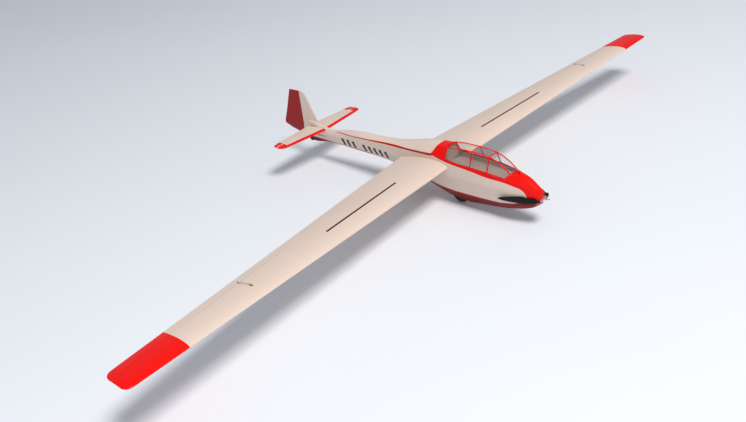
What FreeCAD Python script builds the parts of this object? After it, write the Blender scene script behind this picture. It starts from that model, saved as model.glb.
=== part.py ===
import FreeCAD, Part
import math
import os
import Sketcher
from FreeCAD import Placement, Rotation, Vector

# A two-seat training sailplane at one fifth of full size, flown by radio control, with a folding
# propeller in its nose. +X is forwards, +Y is the port wing, +Z is up, all in millimetres.
# Shapes are drawn from the wing datum, which is the wing's leading edge on the centreline. The
# Placement of each sub-part then carries the datum to its place over the model's origin, which
# is the point on the ground under the middle of the model's length.

PORT, STARBOARD = 1, -1
SIDES = (("port", PORT), ("starboard", STARBOARD))

DIMENSIONS = [
    ("datum_forward", 330.25, "wing datum ahead of the origin"),
    ("datum_height", 190.5, "wing datum above the ground"),
    ("half_span", 1660.0, "centreline to wing tip"),
    ("root_chord", 292.4, "wing chord on the centreline"),
    ("lead_sweep", 0.0725, "forward sweep of the leading edge, per unit of span"),
    ("trail_sweep", 0.1724, "forward sweep of the trailing edge, per unit of span"),
    ("dihedral", 0.0468, "rise of the wing, per unit of span"),
    ("root_drop", 16.2, "trailing edge below the leading edge at the root"),
    ("tip_drop", 3.7, "trailing edge below the leading edge at the tip"),
    ("root_thickness", 0.145, "wing thickness at the root, per unit of chord"),
    ("tip_thickness", 0.12, "wing thickness at the tip, per unit of chord"),
    ("camber", 0.022, "height of the wing's mean line, per unit of chord"),
    ("wing_skin", 1.6, "thickness of the wing's skin"),
    ("body_skin", 2.0, "thickness of the fuselage's skin"),
    ("wing_root", 66.0, "centreline to the wing's root rib"),
    ("panel_end", 1636.0, "centreline to where the rounded tip begins"),
    ("aileron_start", 884.0, "centreline to the aileron's inner end"),
    ("aileron_end", 1636.0, "centreline to the aileron's outer end"),
    ("hinge_nose", 5.0, "radius of a wing aileron's rounded nose"),
    ("brake_width", 8.0, "width of the airbrake's cap strip"),
    ("brake_travel", 14.0, "height that the airbrake rises"),
    ("tail_height", -1.8, "tailplane's mean plane above the datum"),
    ("elevator_hinge", -903.0, "elevator hinge line behind the datum"),
    ("wheel_radius", 46.0, "main wheel's outer radius"),
    ("wheel_width", 21.0, "main wheel's tyre width"),
    ("wheel_station", 15.0, "main wheel's axle ahead of the datum"),
    ("axle_radius", 3.0, "main wheel axle's radius"),
    ("bore_play", 0.06, "radial play of a running fit"),
    ("shaft_radius", 2.5, "motor shaft's radius"),
    ("shaft_height", -55.0, "motor shaft above the datum"),
    ("shaft_end", 486.0, "front end of the motor shaft"),
    ("spigot_radius", 2.0, "radius of the shaft's front end, ahead of the nut"),
    ("spigot_length", 12.0, "length of the shaft's front end, ahead of the nut"),
    ("motor_radius", 18.0, "motor case's radius"),
    ("motor_length", 46.0, "motor case's length"),
    ("yoke_station", 461.0, "propeller blade pivots ahead of the datum"),
    ("blade_pivot", 25.0, "blade pivot from the shaft's axis"),
    ("blade_length", 197.0, "blade pivot to blade tip"),
    ("blade_fold", 12.7, "folded blade's angle from the shaft, degrees"),
    ("yoke_turn", 15.0, "starboard blade below level when stopped, degrees"),
    ("pin_radius", 1.5, "blade hinge pin's radius"),
    ("firewall_thickness", 3.0, "motor ring's thickness"),
    ("motor_bolt_circle", 25.0, "motor screw circle's diameter"),
    ("motor_screw", 1.5, "motor screw's radius"),
    ("frame_radius", 2.6, "canopy frame tube's radius"),
    ("pane_thickness", 1.0, "canopy pane's thickness"),
    ("joiner_radius", 6.0, "wing joiner rod's radius"),
    ("former_thickness", 3.0, "plywood former's thickness"),
]

doc = FreeCAD.newDocument("glider")
sheet = doc.addObject("Spreadsheet::Sheet", "dims")
for row, (alias, value, note) in enumerate(DIMENSIONS, 1):
    sheet.set(f"A{row}", note)
    sheet.set(f"B{row}", str(value))
    sheet.setAlias(f"B{row}", alias)
doc.recompute()

parts = []


def dim(alias):
    return float(sheet.get(alias))


def settle(part, spot=(0.0, 0.0, 0.0), rotation=Rotation()):
    """Place a finished sub-part, whose spot is counted from the wing datum."""
    part.Placement = Placement(Vector(*spot), rotation)
    part.setExpression("Placement.Base.x", f"dims.datum_forward + {spot[0]:.4f}")
    part.setExpression("Placement.Base.z", f"dims.datum_height + {spot[2]:.4f}")
    parts.append(part)
    return part


def feature(label, shape):
    """A sub-part whose shape comes from lofts and booleans in the datum's own frame."""
    part = doc.addObject("Part::Feature", label)
    part.Label = label
    part.Shape = shape
    return settle(part, tuple(shape.Placement.Base), shape.Placement.Rotation)


def block(low, high):
    """A box between two opposite corners."""
    size = Vector(*high) - Vector(*low)
    return Part.makeBox(size.x, size.y, size.z, Vector(*low))


def rod(start, end, radius):
    """A round bar between two points."""
    along = Vector(*end) - Vector(*start)
    return Part.makeCylinder(radius, along.Length, Vector(*start), along)


def fused(shapes):
    return shapes[0].multiFuse(shapes[1:]).removeSplitter() if len(shapes) > 1 else shapes[0]


def outward(solid):
    """The same solid with its faces turned outwards."""
    return solid if solid.Volume > 0 else solid.reversed()


def prism_xz(points, low_y, high_y):
    """An outline in the plane of X and Z, drawn out along Y."""
    wire = Part.makePolygon([Vector(x, low_y, z) for x, z in points + points[:1]])
    return outward(Part.Face(wire).extrude(Vector(0, high_y - low_y, 0)))


def prism_xy(points, low_z, high_z):
    """An outline in the plane of X and Y, drawn out along Z."""
    wire = Part.makePolygon([Vector(x, y, low_z) for x, y in points + points[:1]])
    return outward(Part.Face(wire).extrude(Vector(0, 0, high_z - low_z)))


def mirrored(shape, side):
    """A port-side shape, or its mirror image for the starboard side."""
    return shape if side == PORT else shape.mirror(Vector(0, 0, 0), Vector(0, 1, 0))


# ---------------------------------------------------------------------------- wing surfaces

SECTION_STEPS = 12
EDGE_THICKNESS = 0.8


def half_thickness(share, ratio):
    """Half the thickness of the section at a share of the chord, for a chord of one."""
    root = 0.2969 * math.sqrt(share)
    return 5 * ratio * (root - 0.1260 * share - 0.3516 * share**2 + 0.2843 * share**3
                        - 0.1036 * share**4)


def section_points(chord, ratio, camber, inset=0.0, first=0.0, last=1.0):
    """Upper and lower points of a wing section, from its leading edge at 0 to its trailing edge."""
    upper, lower = [], []
    for step in range(SECTION_STEPS + 1):
        share = first + (last - first) * (1 - math.cos(math.pi * step / SECTION_STEPS)) / 2
        middle = 4 * camber * chord * share * (1 - share)
        half = half_thickness(share, ratio) * chord + EDGE_THICKNESS / 2 * share - inset
        upper.append((share * chord, middle + half))
        lower.append((share * chord, middle - half))
    return upper, lower


def wing_line(span):
    """Leading edge, chord, slope and thickness ratio of the wing at a distance from the centre."""
    share = span / dim("half_span")
    lead = Vector(dim("lead_sweep") * span, span, dim("dihedral") * span)
    chord = dim("root_chord") + (dim("lead_sweep") - dim("trail_sweep")) * span
    drop = dim("root_drop") + (dim("tip_drop") - dim("root_drop")) * share
    ratio = dim("root_thickness") + (dim("tip_thickness") - dim("root_thickness")) * share
    return lead, chord, drop / chord, ratio


def wing_point(span, back, height):
    """A point of the port wing: back from the leading edge, height from the chord line."""
    lead, _, slope, _ = wing_line(span)
    return lead + Vector(-back + height * slope, 0, height - back * slope)


def wing_top(span, back, depth=0.0):
    """A point of the wing's upper surface, or a depth below it."""
    _, chord, _, ratio = wing_line(span)
    share = back / chord
    height = 4 * dim("camber") * chord * share * (1 - share) + half_thickness(share, ratio) * chord
    return wing_point(span, back, height - depth)


def section_wire(points_3d):
    """A closed section: one smooth curve round the nose, and a straight trailing edge."""
    curve = Part.BSplineCurve()
    curve.interpolate(points_3d)
    return Part.Wire([curve.toShape(), Part.makeLine(points_3d[-1], points_3d[0])])


def wing_wire(span, shrink=1.0, flatten=1.0):
    """The wing's outline at a distance from the centre, shrunk about its middle at the tip."""
    _, chord, _, ratio = wing_line(span)
    upper, lower = section_points(chord * shrink, ratio * flatten / shrink, dim("camber"))
    offset = chord * (1 - shrink) * 0.45
    around = upper[::-1] + lower[1:]
    return section_wire([wing_point(span, offset + back, height) for back, height in around])


VOID_FRONT = 0.02
VOID_REAR_ROOT = 240.0
VOID_REAR_SWEEP = 0.175


def void_wire(span, inset):
    """An outline inside the skin, smaller than the hollow by what the inset adds to the skin."""
    lead, chord, _, ratio = wing_line(span)
    smaller = inset - dim("wing_skin")
    front = VOID_FRONT + smaller / chord
    rear = (lead.x + VOID_REAR_ROOT - VOID_REAR_SWEEP * span - smaller) / chord
    upper, lower = section_points(chord, ratio, dim("camber"), inset, front, rear)
    top = [wing_point(span, back, height) for back, height in upper]
    bottom = [wing_point(span, back, height) for back, height in lower]
    curves = []
    for points in (top, bottom[::-1]):
        curve = Part.BSplineCurve()
        curve.interpolate(points)
        curves.append(curve.toShape())
    return Part.Wire([curves[0], Part.makeLine(top[-1], bottom[-1]), curves[1],
                      Part.makeLine(bottom[0], top[0])])


TIP_STEPS = ((0.0, 1.0, 1.0), (9.0, 0.96, 0.86), (16.0, 0.88, 0.66), (21.0, 0.76, 0.42),
             (24.0, 0.58, 0.16))


def wing_outer(start):
    """The port wing's full outside, from a distance from the centre out to its rounded tip."""
    end = dim("panel_end")
    panel = Part.makeLoft([wing_wire(start), wing_wire(end)], True, True)
    tip = Part.makeLoft([wing_wire(end + out, wide, flat) for out, wide, flat in TIP_STEPS],
                        True, True)
    return panel.fuse(tip)


def wing_void(start, end, inset):
    return Part.makeLoft([void_wire(start, inset), void_wire(end, inset)], True, True)


# Aileron hinge line: a straight line through the middle of the wing's thickness.
HINGE_ROOT_X, HINGE_SWEEP = -96.8, 0.176


def aileron_axis(span):
    """A point of the aileron's hinge line."""
    lead, chord, _, _ = wing_line(span)
    back = lead.x - (HINGE_ROOT_X + HINGE_SWEEP * (span - dim("aileron_start")))
    share = back / chord
    return wing_point(span, back, 4 * dim("camber") * chord * share * (1 - share))


def aileron_zone(start, end, ahead):
    """Everything behind the aileron's hinge line, or a little ahead of it."""
    inner, outer = aileron_axis(start), aileron_axis(end)
    return prism_xy([(inner.x + ahead, start), (outer.x + ahead, end), (-400.0, end),
                     (-400.0, start)], -60.0, 160.0)


HINGE_GAP = 2.2
AILERON_END_GAP = 0.8
BRAKE_INNER = (307.8, 99.0)
BRAKE_OUTER = (742.4, 86.2)
BRAKE_CAP = 1.6
BRAKE_DEPTH = 17.0
RIB_SPACING = 112.0
RIB_THICKNESS = 2.0
SPAR_SHARE = 0.30
SPAR_WIDTH = 8.0
SPAR_END = 1500.0
JOINER_STATION = -56.0
JOINER_HEIGHT = 4.0
JOINER_REACH = 190.0
TUBE_WALL = 0.8
TUBE_PLAY = 0.1
LOCATOR_STATION = -205.0
LOCATOR_RADIUS = 3.0


def brake_frame():
    """Placement of the port airbrake: X along the slot, Z out of the wing, origin on the skin."""
    inner, outer = wing_top(*BRAKE_INNER), wing_top(*BRAKE_OUTER)
    along = (outer - inner).normalize()
    across = Vector(0, 0, 1).cross(along).normalize()
    upward = along.cross(across)
    return Placement(inner, Rotation(along, across, upward, "XZY")), (outer - inner).Length


def brake_box(half_width, low, high, trim=0.0):
    """A bar in the airbrake's slot, between two heights from the skin."""
    frame, length = brake_frame()
    bar = Part.makeBox(length - 2 * trim, 2 * half_width, high - low,
                       Vector(trim, -half_width, low))
    bar.Placement = frame
    return bar


def joiner_line(reach, side=PORT):
    """The joiner's line through one wing, which follows the dihedral."""
    centre = Vector(JOINER_STATION, 0, JOINER_HEIGHT)
    return centre, centre + Vector(0, side * reach, dim("dihedral") * reach)


outer_wing = wing_outer(dim("wing_root"))
end_gap = AILERON_END_GAP
aileron_nose = rod(aileron_axis(dim("aileron_start")), aileron_axis(dim("aileron_end")),
                   dim("hinge_nose"))
aileron_cove = rod(aileron_axis(dim("aileron_start") - end_gap),
                   aileron_axis(dim("aileron_end") + end_gap),
                   dim("hinge_nose") + HINGE_GAP)
aileron_room = aileron_zone(dim("aileron_start") - end_gap, dim("aileron_end") + end_gap, 0.0)

# Linkages. Arm and horn are equal and parallel, so the rod between them stays parallel to itself.
ARM_WIDTH, ARM_THICKNESS, ROD_RADIUS, ROD_HOLE, ROD_PIN = 5.0, 1.6, 0.9, 0.95, 0.8
ROD_SIDE = 2.3


def lever(pivot, axis, reach, length, start=0.0, hub=3.5, bore=0.0):
    """A flat arm from a pivot along reach, with the rod's hole at its end."""
    across = axis.cross(reach).normalize()
    half = ARM_WIDTH / 2
    base = pivot - axis * (ARM_THICKNESS / 2)
    corners = [base + reach * start - across * half, base + reach * length - across * half,
               base + reach * length + across * half, base + reach * start + across * half]
    plate = Part.Face(Part.makePolygon(corners + corners[:1])).extrude(axis * ARM_THICKNESS)
    tip = base + reach * length
    plate = plate.fuse(Part.makeCylinder(half, ARM_THICKNESS, tip, axis))
    if hub:
        plate = plate.fuse(Part.makeCylinder(hub, ARM_THICKNESS, base, axis))
    plate = plate.removeSplitter().cut(Part.makeCylinder(ROD_HOLE, 3 * ARM_THICKNESS,
                                                         tip - axis * ARM_THICKNESS, axis))
    if bore:
        plate = plate.cut(Part.makeCylinder(bore, 3 * ARM_THICKNESS, base - axis * 2, axis))
    return plate


def link_rod(start, end, axis):
    """A wire rod beside two levers, with a bent end through each lever's hole."""
    beside = axis * ROD_SIDE
    shapes = [rod(start + beside, end + beside, ROD_RADIUS)]
    for point in (start, end):
        shapes.append(Part.makeSphere(ROD_RADIUS, point + beside))
        shapes.append(rod(point + beside, point - axis * (ARM_THICKNESS / 2 + 0.6), ROD_PIN))
    return fused(shapes)


HORN_SPAN = 1140.0
HORN_LENGTH = 13.5
SERVO_AHEAD = 62.0
SERVO_SIZE = Vector(23.0, 12.0, 15.0)
hinge_start = aileron_axis(dim("aileron_start"))
hinge_along = (aileron_axis(dim("aileron_end")) - hinge_start).normalize()
hinge_ahead = hinge_along.cross(Vector(0, 0, 1)).normalize()
hinge_up = hinge_ahead.cross(hinge_along).normalize()
if hinge_up.z < 0:
    hinge_up = hinge_up * -1
if hinge_ahead.x < 0:
    hinge_ahead = hinge_ahead * -1
horn_pivot = hinge_start + hinge_along * ((HORN_SPAN - hinge_start.y) / hinge_along.y)
lead_at_horn = wing_line(HORN_SPAN)[0].x
servo_skin = wing_top(HORN_SPAN, lead_at_horn - horn_pivot.x - SERVO_AHEAD)
servo_pivot = Vector(servo_skin.x, servo_skin.y, servo_skin.z) - hinge_up * 8.0
servo_pivot = servo_pivot + hinge_along * ((horn_pivot - servo_pivot).dot(hinge_along))
arm_slot = Part.makeBox(20.0, 6.5, 26.0, Vector(-10.0, -3.25, -8.0))
arm_slot.Placement = Placement(servo_pivot + hinge_along * 0.9,
                               Rotation(hinge_ahead, hinge_along, hinge_up, "XZY"))
servo_body = Part.makeBox(SERVO_SIZE.x, SERVO_SIZE.y, SERVO_SIZE.z,
                          Vector(-15.0, -SERVO_SIZE.y - 1.5, -SERVO_SIZE.z + 4.0))
servo_body.Placement = Placement(servo_pivot, Rotation(hinge_ahead, hinge_along, hinge_up, "XZY"))
servo_output = rod(servo_pivot - hinge_along * 1.5, servo_pivot + hinge_along * 0.8, 1.2)
horn_room = Part.makeBox(12.5, 3.4, 16.0, Vector(-0.5, -1.7, 2.5))
horn_room.Placement = Placement(horn_pivot, Rotation(hinge_ahead, hinge_along, hinge_up, "XZY"))

skin_shape = outer_wing.cut(wing_void(dim("wing_root") + 2.0, dim("panel_end") - 6.0,
                                      dim("wing_skin")))
inner_block = wing_void(dim("wing_root") + 2.1, dim("panel_end") - 6.1, dim("wing_skin") + 0.15)
tube_path = joiner_line(JOINER_REACH + 4.0)
tube_bore = rod(*tube_path, dim("joiner_radius") + TUBE_PLAY + TUBE_WALL)
locator_bores = rod((LOCATOR_STATION, 40.0, 4.0), (LOCATOR_STATION, 84.0, 4.0),
                    LOCATOR_RADIUS + dim("bore_play"))
skin_shape = skin_shape.cut([aileron_room, aileron_cove, tube_bore, locator_bores, arm_slot,
                             horn_room,
                             brake_box(dim("brake_width") / 2 + 0.5, -8.0, 8.0, -0.5)])


def largest(shape):
    return max(shape.Solids, key=lambda solid: solid.Volume)


skin_shape = largest(skin_shape)

# The spar's web lies along a constant share of the chord, between the ribs.
spar_root = wing_point(0.0, dim("root_chord") * SPAR_SHARE, 0.0)
spar_tip_chord = wing_line(SPAR_END)[1]
spar_tip = wing_point(SPAR_END, spar_tip_chord * SPAR_SHARE, 0.0)


def spar_slab(half_width, start, end):
    slope = (spar_tip.x - spar_root.x) / SPAR_END
    corners = []
    for span, sign in ((start, 1), (end, 1), (end, -1), (start, -1)):
        corners.append((spar_root.x + slope * span + sign * half_width, span))
    return prism_xy(corners, -60.0, 160.0)


spar_shape = inner_block.common(spar_slab(SPAR_WIDTH / 2, dim("wing_root") + 3.0, SPAR_END))
brake_room = brake_box(7.2, -BRAKE_DEPTH - 3.5, 1.0, -2.0)
servo_room = servo_body.copy()
rib_cutters = [spar_slab(SPAR_WIDTH / 2 + 0.1, 0.0, SPAR_END + 1.0), brake_room, servo_room,
               rod(*tube_path, dim("joiner_radius") + TUBE_PLAY + TUBE_WALL + 0.1)]
ribs = []
span = dim("wing_root") + 34.0
while span < dim("panel_end") - 20.0:
    slice_box = block((-400.0, span, -60.0), (300.0, span + RIB_THICKNESS, 160.0))
    rib = inner_block.common(slice_box).cut(rib_cutters)
    ribs.extend(piece for piece in rib.Solids if piece.Volume > 40.0)
    span += RIB_SPACING
ribs_shape = Part.makeCompound(ribs)

aileron_shape = outer_wing.common(aileron_zone(dim("aileron_start"), dim("aileron_end"), 0.0))
aileron_shape = largest(aileron_shape.fuse(aileron_nose).removeSplitter())
horn_shape = lever(horn_pivot, hinge_along, hinge_up, HORN_LENGTH, start=dim("hinge_nose") - 2.0,
                   hub=0.0)
aileron_shape = aileron_shape.cut(lever(horn_pivot, hinge_along, hinge_up, HORN_LENGTH,
                                        start=dim("hinge_nose") - 2.0, hub=0.0))
arm_shape = lever(servo_pivot, hinge_along, hinge_up, HORN_LENGTH, bore=1.3)
rod_shape = link_rod(servo_pivot + hinge_up * HORN_LENGTH, horn_pivot + hinge_up * HORN_LENGTH,
                     hinge_along)

brake_channel = brake_box(6.0, -BRAKE_DEPTH - 2.5, -BRAKE_CAP - 0.4)
brake_channel = brake_channel.cut(brake_box(4.8, -BRAKE_DEPTH - 1.5, 1.0, 1.0))
brake_cap = brake_box(dim("brake_width") / 2, -BRAKE_CAP + 0.2, 0.2, 0.8)
brake_blade = brake_box(0.75, -BRAKE_DEPTH, -BRAKE_CAP + 0.2, 6.0)
tube_shape = rod(*joiner_line(JOINER_REACH + 2.0), dim("joiner_radius") + TUBE_PLAY + TUBE_WALL)
tube_shape = tube_shape.cut(rod(*joiner_line(JOINER_REACH), dim("joiner_radius") + TUBE_PLAY))
tube_shape = tube_shape.common(block((-200.0, dim("wing_root") + 2.2, -60.0),
                                     (100.0, 400.0, 100.0)))


def both_sides(shape):
    """A port piece and its starboard twin, as one group of separate solids."""
    solids = []
    for _, side in SIDES:
        copy = mirrored(shape, side).copy()
        solids += copy.Solids if copy.Solids else [copy]
    return Part.makeCompound(solids)


for name, side in SIDES:
    feature(f"{name}_wing_skin", mirrored(skin_shape, side))
    feature(f"{name}_aileron", mirrored(aileron_shape, side))
    feature(f"{name}_aileron_horn", mirrored(horn_shape, side))
    feature(f"{name}_aileron_servo_arm", mirrored(arm_shape, side))
    feature(f"{name}_aileron_rod", mirrored(rod_shape, side))
    feature(f"{name}_airbrake_cap", mirrored(brake_cap, side))
    feature(f"{name}_airbrake_blade", mirrored(brake_blade, side))
feature("wing_ribs", both_sides(ribs_shape))
feature("wing_spars", both_sides(spar_shape))
feature("joiner_tubes", both_sides(tube_shape))
feature("aileron_servos", both_sides(servo_body.fuse(servo_output)))
feature("airbrake_channels", both_sides(brake_channel))

# -------------------------------------------------------------------------------- fuselage

# Station, top, then half-width and height of the shoulder, sill, side and chine, then keel.
STATIONS = (
    (452.0, -34.0, 9.0, -36.0, 17.3, -44.0, 20.5, -55.0, 16.3, -68.0, -77.0),
    (445.0, -20.0, 11.2, -23.0, 21.0, -37.0, 23.9, -54.8, 19.3, -75.5, -87.5),
    (431.0, -7.0, 12.8, -10.3, 23.6, -29.5, 26.6, -52.8, 21.7, -82.0, -99.0),
    (408.0, 10.0, 15.0, 7.0, 28.2, -18.0, 31.5, -48.0, 26.0, -91.0, -115.5),
    (370.0, 28.0, 18.5, 24.0, 36.0, -4.0, 39.0, -40.0, 32.0, -101.0, -132.5),
    (330.0, 42.5, 24.0, 34.0, 43.5, 6.0, 47.0, -35.0, 37.5, -107.0, -145.0),
    (285.0, 62.0, 26.0, 60.0, 50.0, 15.0, 54.0, -33.0, 42.0, -110.0, -157.0),
    (215.0, 92.5, 27.5, 91.5, 55.0, 24.0, 60.0, -33.0, 45.0, -111.0, -169.0),
    (125.0, 98.0, 28.5, 97.0, 58.0, 30.0, 63.0, -34.0, 47.0, -112.0, -180.0),
    (50.0, 97.0, 30.0, 96.0, 59.0, 31.0, 64.0, -35.0, 48.0, -111.0, -190.0),
    (-15.0, 91.0, 31.0, 90.0, 58.0, 38.0, 63.0, -35.0, 47.0, -108.0, -184.0),
    (-120.0, 87.0, 25.0, 84.0, 54.0, 50.0, 58.0, -34.0, 41.0, -98.0, -151.0),
    (-285.0, 53.0, 16.0, 51.0, 42.0, 33.0, 46.0, -27.0, 30.0, -74.0, -94.0),
    (-450.0, 38.0, 12.0, 36.0, 31.0, 21.0, 34.0, -25.0, 21.0, -62.0, -76.0),
    (-650.0, 26.5, 10.0, 24.5, 22.0, 8.5, 24.0, -24.0, 15.0, -60.0, -73.0),
    (-850.0, 13.0, 6.0, 11.5, 13.0, -3.0, 14.5, -25.0, 9.0, -62.0, -77.0),
    (-992.0, 2.0, 4.0, 1.0, 8.0, -9.0, 9.0, -30.0, 6.0, -64.0, -75.0),
)
# Share of the neighbouring side that each corner's rounding takes: top to keel.
CORNER_SHARES = (0.40, 0.30, 0.30, 0.30, 0.35, 0.48)


def body_outline(station, inset):
    """Corners of one cross-section, from the top down the port side and up the starboard side."""
    _, top, *pairs, keel = station
    half = [(0.0, top)] + list(zip(pairs[0::2], pairs[1::2])) + [(0.0, keel)]
    points = half + [(-wide, high) for wide, high in half[-2:0:-1]]
    if not inset:
        return points
    moved = []
    count = len(points)
    for index in range(count):
        lines = []
        for first, second in ((points[index - 1], points[index]),
                              (points[index], points[(index + 1) % count])):
            run, rise = second[0] - first[0], second[1] - first[1]
            length = math.hypot(run, rise)
            normal = (rise / length, -run / length)
            lines.append((normal, normal[0] * first[0] + normal[1] * first[1] + inset))
        (a, b), first_side = lines[0]
        (c, d), second_side = lines[1]
        turn = a * d - b * c
        moved.append(((first_side * d - second_side * b) / turn,
                      (a * second_side - c * first_side) / turn))
    return moved


def body_wire(station, inset=0.0, shift=0.0):
    """One rounded cross-section: a closed curve of second degree with three poles a corner."""
    points = body_outline(station, inset)
    shares = list(CORNER_SHARES) + list(CORNER_SHARES[-2:0:-1])
    poles = []
    count = len(points)
    for index, (wide, high) in enumerate(points):
        share = shares[index]
        for near in (points[index - 1], None, points[(index + 1) % count]):
            part_way = (wide, high) if near is None else (wide + (near[0] - wide) * share,
                                                          high + (near[1] - high) * share)
            poles.append(Vector(station[0] + shift, *part_way))
    curve = Part.BSplineCurve()
    curve.buildFromPoles(poles, True, 2)
    return Part.Wire(curve.toShape())


NOSE_WALL, TAIL_WALL = 3.0, 4.0
body_outer = Part.makeLoft([body_wire(station) for station in STATIONS], True, False)


def hollow(inset):
    """The fuselage's inside, drawn in from its outside by an inset."""
    wires = [body_wire(STATIONS[0], inset, -NOSE_WALL)]
    wires += [body_wire(station, inset) for station in STATIONS[1:-1]]
    wires.append(body_wire(STATIONS[-1], inset, TAIL_WALL))
    return Part.makeLoft(wires, True, False)


body_inner = hollow(dim("body_skin"))
body_room = hollow(dim("body_skin") + 0.25)

# The cockpit's rim: along both sills from the rear, then up over the nose.
SILL = ((-13.0, 38.2), (50.0, 31.0), (125.0, 30.0), (215.0, 24.0), (285.0, 15.0), (297.0, 11.0))
FRONT_RIM = ((319.0, 29.2), (335.0, 42.4))
RIM_TOP = 140.0
cockpit_cut = prism_xz([(SILL[0][0], RIM_TOP)] + list(SILL) + list(FRONT_RIM)
                       + [(FRONT_RIM[-1][0] + 8.0, RIM_TOP)], -90.0, 90.0)

WHEEL_HEIGHT = dim("wheel_radius") - dim("datum_height")
WELL_LENGTH, WELL_WIDTH = 52.0, 13.5
wheel_slot = block((dim("wheel_station") - WELL_LENGTH, -WELL_WIDTH, -200.0),
                   (dim("wheel_station") + WELL_LENGTH, WELL_WIDTH, -120.0))
axle_line = ((dim("wheel_station"), -18.0, WHEEL_HEIGHT), (dim("wheel_station"), 18.0, WHEEL_HEIGHT))

# Stubs carry the wing's section into the fuselage; their cut ends face the wing's root ribs.
ROOT_GAP = 0.4


def root_stub(side):
    outline = [wing_wire(20.0), wing_wire(dim("wing_root") - ROOT_GAP)]
    hollow = Part.makeLoft([void_wire(18.0, 2.0), void_wire(dim("wing_root") - 2.4, 2.0)], True, True)
    return mirrored(Part.makeLoft(outline, True, True).cut(hollow), side)


# Tail surfaces. The rudder's hinge line leans back a little as it rises.
RUDDER_HINGE_FOOT = Vector(-996.1, 0.0, -64.0)
RUDDER_HINGE_HEAD = Vector(-987.5, 0.0, 180.0)
rudder_axis = (RUDDER_HINGE_HEAD - RUDDER_HINGE_FOOT).normalize()


def rudder_hinge_x(height):
    share = (height - RUDDER_HINGE_FOOT.z) / (RUDDER_HINGE_HEAD.z - RUDDER_HINGE_FOOT.z)
    return RUDDER_HINGE_FOOT.x + share * (RUDDER_HINGE_HEAD.x - RUDDER_HINGE_FOOT.x)


FIN_THICK_LOW, FIN_THICK_HIGH = 7.4, 3.2
RUDDER_KNEE = -10.0


def fin_half_thickness(height):
    share = max(0.0, min(1.0, (height - RUDDER_KNEE) / 190.0))
    return FIN_THICK_LOW + share * (FIN_THICK_HIGH - FIN_THICK_LOW)


def fin_wire(height, lead, trim=0.0):
    """Front part of the vertical tail: round leading edge, widest at the hinge line."""
    rear = rudder_hinge_x(height)
    half = fin_half_thickness(height) - trim
    shares = [0.0, 0.02, 0.06, 0.14, 0.28, 0.5, 0.75, 1.0]
    side = [(lead + (rear - lead) * s, half * (1 - (1 - s) ** 2) ** 0.6) for s in shares]
    points = [Vector(x, y, height) for x, y in side[::-1]]
    points += [Vector(x, -y, height) for x, y in side[1:]]
    return section_wire(points)


def rudder_wire(height, trail):
    """Rear part of the vertical tail: flat sides that taper to the trailing edge."""
    hinge = rudder_hinge_x(height)
    half, edge = fin_half_thickness(height), 0.8
    corners = [Vector(hinge, half, height), Vector(trail, edge, height),
               Vector(trail, -edge, height), Vector(hinge, -half, height)]
    return Part.makePolygon(corners + corners[:1])


def tapered_nose(foot, head, foot_radius, head_radius):
    along = head - foot
    return Part.makeCone(foot_radius, head_radius, along.Length, foot, along)


def rudder_round(gap, reach):
    """A round bar on the rudder's hinge line: straight to its knee, then tapering upwards."""
    foot, head = RUDDER_HINGE_FOOT - rudder_axis * reach, RUDDER_HINGE_HEAD + rudder_axis * reach
    knee = RUDDER_HINGE_FOOT + rudder_axis * ((RUDDER_KNEE - RUDDER_HINGE_FOOT.z) / rudder_axis.z)
    low, high = FIN_THICK_LOW + gap, FIN_THICK_HIGH + gap
    return rod(foot, knee, low).fuse(tapered_nose(knee, head, low, high))


FIN_LEADS = ((-4.0, -866.5), (10.0, -873.0), (172.0, -947.6), (178.0, -954.0), (180.5, -962.0))
RUDDER_TRAILS = ((-64.0, -1004.0), (-55.0, -1043.5), (-42.0, -1100.0), (-25.0, -1146.0),
                 (-12.0, -1146.5), (60.0, -1112.0), (172.0, -1063.0), (180.0, -1056.0))
SURFACE_GAP = 1.1
rudder_nose = rudder_round(-0.1, 0.0)
rudder_cove = rudder_round(SURFACE_GAP, 6.0)
fin_shape = Part.makeLoft([fin_wire(*lead) for lead in FIN_LEADS], True, True)
fin_shape = largest(fin_shape.cut([rudder_cove, body_outer]))
rudder_shape = Part.makeLoft([rudder_wire(*trail) for trail in RUDDER_TRAILS], True, True)
rudder_shape = largest(rudder_shape.fuse(rudder_nose).removeSplitter())

RUDDER_HORN_HEIGHT = -38.0
rudder_pivot = RUDDER_HINGE_FOOT + rudder_axis * ((RUDDER_HORN_HEIGHT - RUDDER_HINGE_FOOT.z)
                                                  / rudder_axis.z)
TAIL_HORN = 13.0
to_starboard = Vector(0, -1, 0)
rudder_horn = lever(rudder_pivot, rudder_axis, to_starboard, TAIL_HORN, start=4.0, hub=0.0)
rudder_servo_pivot = Vector(-185.0, 14.0, -30.0)
rudder_arm = lever(rudder_servo_pivot, rudder_axis, to_starboard, TAIL_HORN, bore=1.3)
rudder_rod = link_rod(rudder_servo_pivot + to_starboard * TAIL_HORN,
                      rudder_pivot + to_starboard * TAIL_HORN, rudder_axis * -1)
horn_slot = block((-1003.0, -18.0, RUDDER_HORN_HEIGHT - 4.5),
                  (-983.0, 0.0, RUDDER_HORN_HEIGHT + 2.0))
rod_start = rudder_servo_pivot + to_starboard * TAIL_HORN - rudder_axis * ROD_SIDE
rod_line = rudder_pivot - rudder_servo_pivot
exit_slot = rod(rod_start + rod_line * 0.78, rod_start + rod_line * 0.94, 3.0)

ELEVATOR_START, ELEVATOR_END = 15.0, 228.0
TAIL_LEAD_ROOT, TAIL_LEAD_SWEEP = -822.0, 0.1112
TAIL_TRAIL_ROOT, TAIL_TRAIL_SWEEP = -950.0, 0.0736
TAIL_RATIO = 0.085
TAIL_TIP = ((228.0, 0.0, 0.0), (250.0, 0.8, 1.2), (262.0, 6.0, 5.0), (269.0, 16.0, 14.0),
            (271.8, 30.0, 27.0))


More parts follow.
